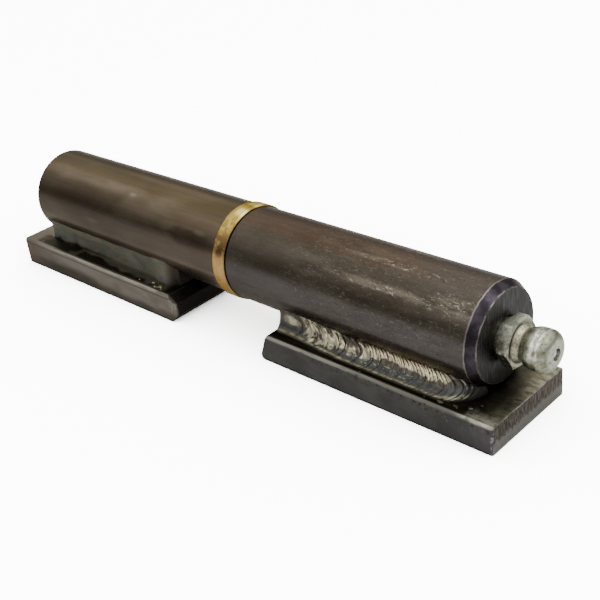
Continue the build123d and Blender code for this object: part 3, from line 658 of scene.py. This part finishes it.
def zinc_finish():
    """Dull zinc plate with a yellow-green cast, pitted and grimy in its recesses, with painted
    highlights on the head's rings, the hexagon's upper flat and the collar's top, and painted
    shade on the hexagon's side flats.
    """
    f = Finish("zinc_plate", (0.8, 0.8, 0.75))
    bar_end = right_bar_high.x        # places along the nipple are counted from here
    turn = f.around()
    clouds = f.grain(1.0, (1, 1, 1), 3.0, 0.6, 0.3, 70)
    fine = f.grain(0.2, (1, 1, 1), 2.0, 0.6, 0.0, 71)
    specks = f.times(f.ease(fine, 0.58, 0.66), f.patches(0.4, 0.56, 1.4, shift=73))
    colour = f.mix((0.228, 0.23, 0.158), (0.425, 0.43, 0.325), f.ease(clouds, 0.34, 0.6))
    head = f.ease(f.x, bar_end + 3.7, bar_end + 4.2)
    colour = f.shade(colour, 0.82, head)
    # Rings worn bright by the grease coupler, brightest on the upper side as a painted
    # highlight.
    rubs = f.patches(0.36, 0.56, 0.55, (1, 1.6, 1.6), 3.0, 0.6, 0.2, 78)
    rings = f.most(f.near(f.x, bar_end + 5.75, 0.16, 0.4),
                   f.near(f.x, bar_end + 6.55, 0.1, 0.28))
    upper = f.spread(f.near(turn, 38.0, 14.0, 34.0), 0.25, 1.0)
    colour = f.coat(colour, (1.0, 0.99, 0.84), rings, upper, f.spread(rubs, 0.15, 1.0))
    colour = f.coat(colour, (0.055, 0.05, 0.034), specks, 0.85)
    out = f.from_axis()
    hexagon = f.ease(f.x, bar_end + 2.9, bar_end + 2.6)
    # Grime and painted shade darken the hexagon's side flats.
    grime_and_shade = f.times(hexagon, f.near(turn, -6.0, 26.0, 8.0),
                    f.patches(0.38, 0.56, 0.7, shift=72), 0.7)
    colour = f.mix(colour, (0.135, 0.12, 0.118), grime_and_shade)
    # Painted light: the hexagon's upper flat is lightened.
    painted_light_upper_flat = f.times(hexagon, f.ease(turn, 30.0, 42.0),
                         f.patches(0.3, 0.55, 0.9, shift=77))
    colour = f.coat(colour, (0.62, 0.62, 0.51), painted_light_upper_flat, 0.8)
    # The hexagon's corners are lighter: wear, and a painted highlight along their chamfer arcs.
    worn = f.times(hexagon, f.ease(out, 3.75, 4.0), f.patches(0.42, 0.56, 0.8, shift=74))
    colour = f.coat(colour, (0.58, 0.58, 0.52), worn, 0.8)
    collar = f.times(f.near(f.x, bar_end + 3.05, 0.28, 0.12), f.ease(out, 3.4, 2.9))
    pitted = f.patches(0.44, 0.58, 0.34, (1, 1, 1), 3.0, 0.7, 0.3, 79)
    collar_tone = f.mix((0.27, 0.25, 0.165), (0.5, 0.47, 0.35), pitted)
    # Painted light: the collar is darker overall and lighter on its upper side.
    colour = f.coat(colour, f.lit(collar_tone, 0.8), collar, 0.9)
    colour = f.coat(colour, collar_tone, collar, f.ease(turn, 20.0, 50.0), 0.9)
    dents = f.times(hexagon, f.patches(0.56, 0.64, 0.3, (1, 1, 1), 3.0, 0.7, 0.4, 68))
    colour = f.coat(colour, (0.075, 0.068, 0.055), dents, 0.65)
    seat = f.near(f.x, bar_end + 2.72, 0.05, 0.12)
    colour = f.coat(colour, (0.065, 0.058, 0.04), seat, f.ease(out, 3.4, 3.1), 0.5)
    groove = f.times(f.near(f.x, bar_end + 3.75, 0.2, 0.25), f.ease(out, 2.9, 2.6))
    colour = f.coat(colour, (0.08, 0.074, 0.055), groove, 0.4)
    ring = f.times(f.ease(f.x, bar_end + 7.9, bar_end + 8.05),
                   f.patches(0.36, 0.5, 0.5, shift=76))
    colour = f.coat(colour, (0.55, 0.56, 0.48), ring, 0.7)
    rough = f.spread(clouds, 0.27, 0.4)
    return f.finish(colour, rough, f.add(f.times(clouds, 0.18), f.times(fine, 0.8)), 0.035)


def ground_steel_finish(name, tone, tint, lines_along):
    """Ground or drawn steel, oiled, with fine lines."""
    f = Finish(name, (0.8, 0.8, 0.8))
    lines = f.grain(0.1, lines_along, 2.0, 0.6, 0.0, 80.0)
    film = f.grain(2.5, (1, 1, 1), 3.0, 0.5, 0.2, 81)
    colour = f.mix(tone, tint, f.ease(film, 0.4, 0.7))
    colour = f.coat(colour, tuple(0.5 * c for c in tone), f.ease(lines, 0.55, 0.8), 0.4)
    return f.finish(colour, f.spread(film, 0.2, 0.34), lines, 0.004)


# ---- Weld beads ----
def smooth(value):
    value = min(1.0, max(0.0, value))
    return value * value * (3 - 2 * value)


def blend(first, second, share):
    return tuple(a + (b - a) * share for a, b in zip(first, second))


EDGE_BITE = 0.1           # a bead's edge is melted this far into the bar
ROOT = 3.0                # from the line of touch to a bead's root
SINK = 0.3                # how far a bead's underside lies in the plate
END_ROUND = 0.35          # the rounding of a bead's start and stop
END_STEPS = (0.0, 0.02, 0.07, 0.15, 0.25)     # the sections within that rounding


def face_point(shape, rise, lift, plate_top):
    """A point on a bead's face: how far out from the axis, how high, at a share of its rise."""
    toe, angle, bulge = shape
    edge_out = (bar_radius - EDGE_BITE) * math.cos(math.radians(angle))
    edge_up = -(bar_radius - EDGE_BITE) * math.sin(math.radians(angle))
    run, climb = edge_out - toe, edge_up - plate_top
    length = math.hypot(run, climb)
    crown = bulge * 4 * rise * (1 - rise) + lift
    out = toe + run * rise + crown * climb / length
    up = plate_top + climb * rise - crown * run / length
    return out, up


def lay_bead(name, node, half, side, plate_top, path_end, turn_radius, stations, columns):
    """Draws a bead's end face out through its stations, one extrusion for each.

    A station is (along, bow, shape, lift): its place on the path, how far its middle
    bows towards the nipple, its section, and a function from rise to lift.
    """
    bm = bmesh.new()
    rows = columns + 4
    bmesh.ops.create_circle(bm, segments=rows, cap_ends=True)
    end_face = bm.faces[:][0]
    kept = {key: bm.verts.layers.float.new(key) for key in ("rise", "lay", "crest")}
    start, stop = stations[0][0], stations[-1][0]

    def place(face, station):
        along, bow, shape, lift = station
        to_end = min(along - start, stop - along) / END_ROUND
        tuck = END_ROUND * (1 - math.sqrt(1 - (1 - to_end) ** 2)) if to_end < 1 else 0.0
        points = [(shape[0] - tuck, plate_top - SINK, 0.0, 0.0)]
        for column in range(columns + 1):
            rise = column / columns
            raised = lift(rise)
            points.append((*face_point(shape, rise, raised - tuck, plate_top), rise, raised))
        points.append((ROOT, points[-1][1], 1.0, 0.0))
        points.append((ROOT, plate_top - SINK, 0.0, 0.0))
        for corner, (out, up, rise, raised) in zip(face.verts, points):
            ahead = along + bow * 4 * rise * (1 - rise)
            past = ahead - path_end
            if past > 0 and turn_radius > 0:
                turn = past / turn_radius
                x = path_end + (out - ROOT) * math.sin(turn)
                y = ROOT + (out - ROOT) * math.cos(turn)
            else:
                x, y = ahead, out
            corner.co = (x, side * y, up)
            corner[kept["rise"]] = rise
            corner[kept["lay"]] = along - start
            corner[kept["crest"]] = raised

    place(end_face, stations[0])
    for number, station in enumerate(stations[1:]):
        passed = end_face
        drawn = bmesh.ops.extrude_face_region(bm, geom=[passed])
        end_face = next(g for g in drawn["geom"] if isinstance(g, bmesh.types.BMFace))
        if number:
            bmesh.ops.delete(bm, geom=[passed], context="FACES_ONLY")
        place(end_face, station)
    bmesh.ops.remove_doubles(bm, verts=bm.verts, dist=0.001)
    bmesh.ops.transform(bm, matrix=bench_to_frame, verts=bm.verts)
    bmesh.ops.recalc_face_normals(bm, faces=bm.faces)
    for face in bm.faces:
        face.smooth = len(face.verts) == 4
    piece = make_thing(name, bm)
    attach(piece, half)
    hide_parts(node)
    return piece


RIPPLE_PITCH = 0.66
RIPPLE_HEIGHT = 0.15
RIPPLE_STEPS = ((0.0, 0.0), (0.2, 0.35), (0.45, 0.75), (0.7, 1.0), (0.84, 0.85), (0.94, 0.3))
RIPPLE_BOW = 1.9
LUMPY_LENGTH = 19.0       # from a bead's crater, where its ripples ran together
# Each lump pattern: how often along, how often across, which slice of noise, how high.
LUMPS = ((0.55, 2.6, 4.0, 0.42), (1.5, 6.0, 7.0, 0.16))
LUMPS_SINK = 0.04
FINE_LUMPS = (2.2, 9.0, 17.0, 0.035)
BLOB_PLACE, BLOB_SIZE = (2.3, 0.62), (1.1, 0.2)     # frozen in the crater: along, and in rise
BLOB_HEIGHT = 0.14


def lump(here, rise, pattern):
    along, across, slice_place, height = pattern
    return noise.noise(Vector((here * along, rise * across, slice_place))) * height


def ripples(chance, start, whole, first, full, lumpy, steady):
    """Stations of overlapping ripples, lumpy at first, from a crater to the turned-in end."""
    stations = []
    along = 0.0
    while along < whole - 0.2:
        pitch = RIPPLE_PITCH * chance.uniform(0.8, 1.25)
        height = RIPPLE_HEIGHT * chance.uniform(0.6, 1.3)
        ragged = smooth((lumpy - along) / 4.0)
        pitch *= 1 + 0.9 * ragged
        lean = chance.uniform(-0.3, 0.3)
        for share, level in RIPPLE_STEPS:
            here = along + share * pitch
            if here > whole:
                break
            shape = blend(first, full, smooth((here - 2.0) / steady))
            fade = smooth(here / 4.0) * smooth((whole - here) / 3.0)
            bow = (RIPPLE_BOW + lean) * fade

            def lift(rise, here=here, level=level, height=height, fade=fade, ragged=ragged):
                ripple = height * level * fade
                lumps = sum(lump(here, rise, pattern) for pattern in LUMPS) - LUMPS_SINK
                lumps *= ragged * smooth((here - 3.5) / 2.0)
                along_blob = (here - BLOB_PLACE[0]) / BLOB_SIZE[0]
                across_blob = (rise - BLOB_PLACE[1]) / BLOB_SIZE[1]
                blob = BLOB_HEIGHT * math.exp(-along_blob ** 2 - across_blob ** 2) * ragged
                ends = smooth(rise / 0.25) * smooth((1 - rise) / 0.12)
                return (ripple + lumps + lump(here, rise, FINE_LUMPS) + blob) * ends

            stations.append((start + here, bow, shape, lift))
        along += pitch
    stations.append((start + whole, 0.0, full, lambda rise: 0.0))
    return stations


def right_front_bead():
    """The bead laid from the nipple end in overlapping ripples, to a crater at the left."""
    low, high = bench("right_weld_front")
    crater, full = (8.0, 30.0, -0.6), (9.0, 38.0, 0.45)
    path_end = high.x - (full[0] - ROOT)
    reach = 4.4
    whole = path_end - low.x + reach * math.pi / 2
    stations = ripples(random.Random(11), low.x, whole, crater, full, LUMPY_LENGTH, 14.0)
    return lay_bead("right_front_bead", "right_weld_front", "right_half", -1,
                    right_plate_high.z, path_end, reach, stations, 30)


def left_front_bead():
    """A smooth, hollow bead that flares a little before it was stopped."""
    low, high = bench("left_weld_front")
    hollow, flared, stop = (7.1, 18.0, -0.35), (8.1, 21.0, -0.25), (6.9, 30.0, 0.1)
    flare, ending = 8.0, 3.4
    stations = []
    length = high.x - low.x
    straight = length - 2 * END_ROUND
    places = [*END_STEPS, *(END_ROUND + straight * step / 150 for step in range(150))]
    places += [length - place for place in (END_ROUND, *reversed(END_STEPS))]
    for place in places:
        here = low.x + place
        shape = blend(hollow, flared, smooth((place - length + flare) / (flare - ending)))
        shape = blend(shape, stop, smooth((place - length + ending) / ending))

        def lift(rise, here=here):
            swell = 0.05 * noise.noise(Vector((here * 0.22, rise * 1.5, 3.0)))
            return swell * smooth(rise / 0.2) * smooth((1 - rise) / 0.2)

        stations.append((here, 0.0, shape, lift))
    return lay_bead("left_front_bead", "left_weld_front", "left_half", -1, left_plate_high.z,
                    high.x, 0.0, stations, 20)


def rear_bead(name, node, half, plate_top, toe, seed):
    """An even, rippled bead along the back."""
    low, high = bench(node)
    shape = (toe, 31.0, 0.1)
    path_end = high.x - (toe - ROOT)
    reach = 0.7 * (toe - ROOT)
    whole = path_end - low.x + reach * math.pi / 2
    stations = ripples(random.Random(seed), low.x, whole, shape, shape, 0.0, 1.0)
    return lay_bead(name, node, half, 1, plate_top, path_end, reach, stations, 16)


def spatter(name, half, plate_top, drops):
    """Drops of weld metal, frozen where they landed: each (x, y, across, tall)."""
    bm = bmesh.new()
    for x, y, across, tall in drops:
        flattened = Matrix.Diagonal((0.5 * across, 0.4 * across, tall, 1.0))
        place = Matrix.Translation((x, y, plate_top)) @ flattened
        bmesh.ops.create_icosphere(bm, subdivisions=3, radius=1.0, matrix=place)
    for corner in bm.verts:
        corner.co += noise.noise_vector(corner.co * 1.3) * 0.06
    bmesh.ops.transform(bm, matrix=bench_to_frame, verts=bm.verts)
    for face in bm.faces:
        face.smooth = True
    piece = make_thing(name, bm)
    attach(piece, half)
    return piece


COIL_CREASE = math.radians(35)     # the wire's cut ends stay sharp


def nipple_coil():
    """The nipple's spring, copied from its CAD node with its wire smoothed. On the real nipple
    it shortens as the check ball is pushed in.
    """
    bm = bmesh.new()
    bm.from_mesh(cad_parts["nipple_spring"].data)
    bmesh.ops.remove_doubles(bm, verts=bm.verts, dist=0.001 * MM)
    for face in bm.faces:
        face.smooth = True
    for edge in bm.edges:
        edge.smooth = edge.is_manifold and edge.calc_face_angle() < COIL_CREASE
    piece = make_thing("nipple_coil", bm)
    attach(piece, "right_half")
    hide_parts("nipple_spring")
    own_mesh(piece)
    return piece


BEAD_WIDTH = 4.6          # across a bead's face


def bead_patterns(f):
    """Lays a finish's patterns along the bead: millimetres along it, and across its face."""
    lay, rise = f.own("lay"), f.own("rise")
    flat = f.nodes.new("ShaderNodeCombineXYZ")
    f.put(flat.inputs[0], lay)
    f.put(flat.inputs[1], f.times(rise, BEAD_WIDTH))
    f.place = flat.outputs[0]
    return lay, rise


def rippled_weld_finish():
    """Bright, tan ripples over a blue-grey lower face, with a pale line along the toe."""
    f = Finish("rippled_weld", (0.8, 0.77, 0.7))
    lay, rise = bead_patterns(f)
    crest = f.own("crest")
    rough_edge = f.stray(f.grain(1.7, (1, 1.6, 1), shift=90), 0.75)
    low_edge = f.add(0.46, f.times(f.ease(lay, 11.5, 9.0), -0.22),
                     f.times(f.ease(lay, 17.5, 21.0), 0.17))
    over = f.ease(f.add(f.math("SUBTRACT", rise, low_edge), rough_edge), -0.04, 0.06)
    under = f.ease(f.add(rise, f.times(rough_edge, 0.25)), 1.03, 0.95)
    ends = f.times(f.ease(lay, 4.0, 5.0), f.ease(lay, 34.2, 30.5))
    fingers = f.grain(0.42, (1, 5, 1), 2.0, 0.6, 0.6, 92)
    lumpy = f.ease(lay, 21.0, 16.0)
    breaks = f.patches(0.43, 0.54, 1.5, (1, 1.4, 1), 2.0, 0.5, 0.8, 95)
    along_edge = f.times(f.ease(rise, 0.8, 0.92), f.ease(fingers, 0.4, 0.52))
    filled = f.times(f.rest(lumpy), f.near(rise, 0.8, 0.11, 0.1),
                     f.patches(0.3, 0.5, 0.8, shift=93))
    ridge = f.most(f.ease(crest, 0.01, 0.07), along_edge, f.times(filled, 0.9),
                   f.times(lumpy, f.ease(fingers, 0.34, 0.46)))
    bright = f.times(over, under, ends, f.most(breaks, f.rest(lumpy)), ridge)
    ragged = f.stray(f.grain(0.8, shift=94), 0.8)
    blob = f.spot(f.add(lay, ragged), f.add(rise, f.times(ragged, 0.2)), (2.2, 0.62),
                  (1.55, 0.23))
    steel = f.mix((0.24, 0.19, 0.14), (0.58, 0.52, 0.36), f.ease(fingers, 0.36, 0.6))
    hue = f.patches(0.4, 0.6, 2.4, (1, 1, 1), shift=97)
    steel = f.mix(steel, f.mix((0.46, 0.39, 0.29), (0.52, 0.52, 0.31), hue), 0.55)
    # Painted sheen: the upper ripples are lightened in patches.
    sheen = f.spread(f.patches(0.36, 0.6, 1.1, (1.6, 1, 1), 3.0, 0.6, 0.3, 96), 0.15, 1.0)
    steel = f.shade(steel, 2.0, f.ease(rise, 0.62, 0.82), f.ease(lay, 12.0, 20.0),
                   sheen)
    blue = f.mix((0.045, 0.049, 0.05), (0.085, 0.087, 0.082),
                 f.patches(0.35, 0.65, 1.2, shift=99))
    blue = f.mix(blue, (0.085, 0.079, 0.058), f.ease(rise, 0.3, 0.14))
    smoke = f.mix((0.055, 0.045, 0.038), (0.1, 0.085, 0.068), f.ease(fingers, 0.4, 0.6))
    colour = f.mix(blue, smoke, f.ease(rise, 0.35, 0.55))
    arcs = f.times(f.near(lay, 35.2, 1.2, 1.0),
                   f.patches(0.5, 0.6, 0.28, (1, 9, 1), 1.0, 0.5, 0.0, 101),
                   f.near(rise, 0.65, 0.2, 0.15))
    colour = f.coat(colour, (0.36, 0.32, 0.33), arcs, 0.7)
    colour = f.mix(colour, steel, bright)
    blob_tone = f.mix((0.2, 0.2, 0.125), (0.5, 0.5, 0.34),
                      f.patches(0.38, 0.58, 0.9, shift=108))
    colour = f.coat(colour, blob_tone, blob, 0.95)
    bits = f.times(f.patches(0.6, 0.68, 0.32, shift=109), f.near(rise, 0.34, 0.12, 0.1),
                   f.near(lay, 21.0, 5.0, 3.0))
    colour = f.coat(colour, (0.34, 0.35, 0.27), bits, 0.8)
    toe_wander = f.stray(f.grain(2.4, shift=103), 0.12)
    toe_place = f.add(rise, toe_wander)
    toe_line = f.times(f.near(toe_place, 0.12, 0.015, 0.035),
                       f.spread(f.patches(0.36, 0.6, 0.9, shift=105), 0.2, 1.0))
    colour = f.coat(colour, (0.3, 0.28, 0.19), toe_line, f.ease(lay, 37.0, 35.0),
                    f.spread(f.ease(lay, 3.0, 9.0), 0.5, 1.0))
    toe_patch = f.times(f.spot(lay, rise, (34.0, 0.12), (2.0, 0.16)),
                        f.patches(0.4, 0.55, 0.5, shift=106))
    colour = f.mix(colour, (0.42, 0.41, 0.3), toe_patch)
    # Soot and painted shade along the toe.
    soot_and_shade = f.ease(toe_place, 0.09, 0.03)
    colour = f.coat(colour, (0.03, 0.027, 0.018), soot_and_shade, 0.85)
    # Painted shade: a dark line where the bead meets the bar.
    top_crease_shade = f.times(f.ease(rise, 0.95, 1.0), f.rest(f.times(bright, 0.8)))
    colour = f.mix(colour, (0.034, 0.027, 0.022), top_crease_shade)
    tail = f.times(f.ease(lay, 32.5, 35.8), f.rest(f.most(toe_patch, arcs)))
    colour = f.coat(colour, (0.022, 0.02, 0.019), tail, 0.93)
    rough = f.spread(bright, 0.42, 0.3)
    return f.finish(colour, rough, f.add(fingers, f.grain(0.3, shift=107)), 0.05,
                    f.spread(bright, 0.8, 1.0))


def smooth_weld_finish():
    """Grey-green film over a smooth bead, brown towards its upper edge with painted shade along
    that edge, soot and painted shade at the toe, and painted shade at its stopped end.
    """
    f = Finish("smooth_weld", (0.76, 0.74, 0.68))
    lay, rise = bead_patterns(f)
    clouds = f.grain(3.0, (2.0, 1, 1), 2.0, 0.5, 0.5, 110)
    upper = f.mix((0.072, 0.062, 0.046), (0.128, 0.115, 0.088), f.ease(clouds, 0.35, 0.65))
    lower = f.mix((0.07, 0.07, 0.056), (0.116, 0.114, 0.096), f.ease(clouds, 0.35, 0.65))
    colour = f.mix(lower, upper, f.ease(rise, 0.35, 0.62))
    green = f.patches(0.5, 0.6, 2.6, (1.6, 1, 1), 2.0, 0.5, 0.6, 112)
    colour = f.coat(colour, (0.082, 0.1, 0.062), green, 0.75)
    tan = f.patches(0.52, 0.62, 2.2, (1.8, 1, 1), 2.0, 0.5, 0.6, 113)
    colour = f.coat(colour, (0.12, 0.096, 0.064), tan, 0.7)
    # Painted shade: darker along the upper edge, where the bead meets the bar.
    groove_edge = f.stray(f.grain(2.0, shift=114), 0.12)
    colour = f.coat(colour, (0.06, 0.045, 0.033), f.ease(f.add(rise, groove_edge), 0.97, 1.02),
                    0.5)
    # Soot and painted shade along the toe.
    sooty_shade_edge = f.stray(f.grain(2.8, shift=116), 0.4)
    soot_and_shade = f.times(f.ease(f.add(rise, sooty_shade_edge), 0.14, 0.0), f.ease(lay, 26.0, 8.0))
    colour = f.coat(colour, (0.02, 0.018, 0.014), soot_and_shade, 0.9)
    # Painted shade: the stopped end is darkened.
    stop = f.ease(lay, 35.0, 37.6)
    colour = f.coat(colour, (0.03, 0.026, 0.021), stop, 0.85)
    return f.finish(colour, f.spread(clouds, 0.5, 0.62), clouds, 0.02,
                    f.spread(f.most(soot_and_shade, stop), 0.5, 1.0))


def spatter_finish():
    """Straw-coloured drops, dark round their feet."""
    f = Finish("weld_spatter", (0.8, 0.78, 0.7))
    clouds = f.grain(0.9, (1, 1, 1), 3.0, 0.6, 0.4, 130)
    colour = f.mix((0.055, 0.05, 0.034), (0.26, 0.245, 0.155), f.ease(clouds, 0.4, 0.62))
    foot = f.ease(f.z, left_plate_high.z + 0.1, left_plate_high.z - 0.02)
    colour = f.coat(colour, (0.03, 0.026, 0.018), foot, 0.8)
    return f.finish(colour, f.spread(clouds, 0.3, 0.45), clouds, 0.02)


def rear_weld_finish():
    """Brown-grey ripples, brighter on their crests."""
    f = Finish("rear_weld", (0.76, 0.74, 0.68))
    rise = bead_patterns(f)[1]
    crest = f.own("crest")
    clouds = f.grain(2.4, (1.6, 1, 1), 2.0, 0.5, 0.4, 120)
    colour = f.mix((0.06, 0.054, 0.046), (0.115, 0.106, 0.09), f.ease(clouds, 0.35, 0.65))
    bright = f.times(f.ease(crest, 0.04, 0.1), f.near(rise, 0.58, 0.22, 0.15),
                     f.ease(clouds, 0.4, 0.56))
    colour = f.coat(colour, (0.3, 0.26, 0.2), bright, 0.65)
    colour = f.coat(colour, (0.02, 0.016, 0.012), f.ease(rise, 0.12, 0.03), 0.9)
    return f.finish(colour, f.spread(clouds, 0.36, 0.5), clouds, 0.02)


make_camera()
make_floor()
make_room()

finishes = {
    "left_barrel": left_bar_finish(),
    "right_barrel": right_bar_finish(),
    "left_plate": left_plate_finish(),
    "right_plate": right_plate_finish(),
    "thrust_washer": brass_finish(),
    "grease_nipple": zinc_finish(),
}
for node_name, steel, tone, film, lines_along in (
    ("hinge_pin", "ground_pin", (0.46, 0.46, 0.45), (0.36, 0.33, 0.27), (1, 20, 20)),
    ("nipple_check_ball", "polished_ball", (0.6, 0.6, 0.6), (0.5, 0.5, 0.48), (3, 3, 3)),
    ("nipple_spring", "spring_wire", (0.3, 0.3, 0.29), (0.24, 0.23, 0.21), (6, 6, 6)),
):
    finishes[node_name] = ground_steel_finish(steel, tone, film, lines_along)
for node_name, material in finishes.items():
    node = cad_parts[node_name]
    node.data.materials.clear()
    node.data.materials.append(material)

right_front_bead().data.materials.append(rippled_weld_finish())
left_front_bead().data.materials.append(smooth_weld_finish())
nipple_coil().data.materials.append(finishes["nipple_spring"])
spatter_steel = spatter_finish()
for drops in (
    spatter("left_spatter", "left_half", left_plate_high.z, (
        (-16.6, -8.9, 2.3, 0.34), (-18.2, -8.7, 0.9, 0.26), (-15.2, -9.5, 0.6, 0.2),
        (-21.5, -9.3, 0.4, 0.2),
    )),
    spatter("right_spatter", "right_half", right_plate_high.z, (
        (45.4, -8.9, 1.3, 0.36), (47.8, -8.6, 0.8, 0.3), (48.3, -8.9, 0.5, 0.22),
        (49.9, -7.9, 0.9, 0.28), (50.9, -6.6, 0.5, 0.25), (42.9, -9.3, 0.4, 0.2),
        (31.0, -9.5, 0.4, 0.2), (50.6, -8.9, 0.4, 0.2),
    )),
):
    drops.data.materials.append(spatter_steel)
rear_steel = rear_weld_finish()
for bead in (
    rear_bead("left_rear_bead", "left_weld_rear", "left_half", left_plate_high.z, 7.4, 23),
    rear_bead("right_rear_bead", "right_weld_rear", "right_half", right_plate_high.z, 7.6, 31),
):
    bead.data.materials.append(rear_steel)
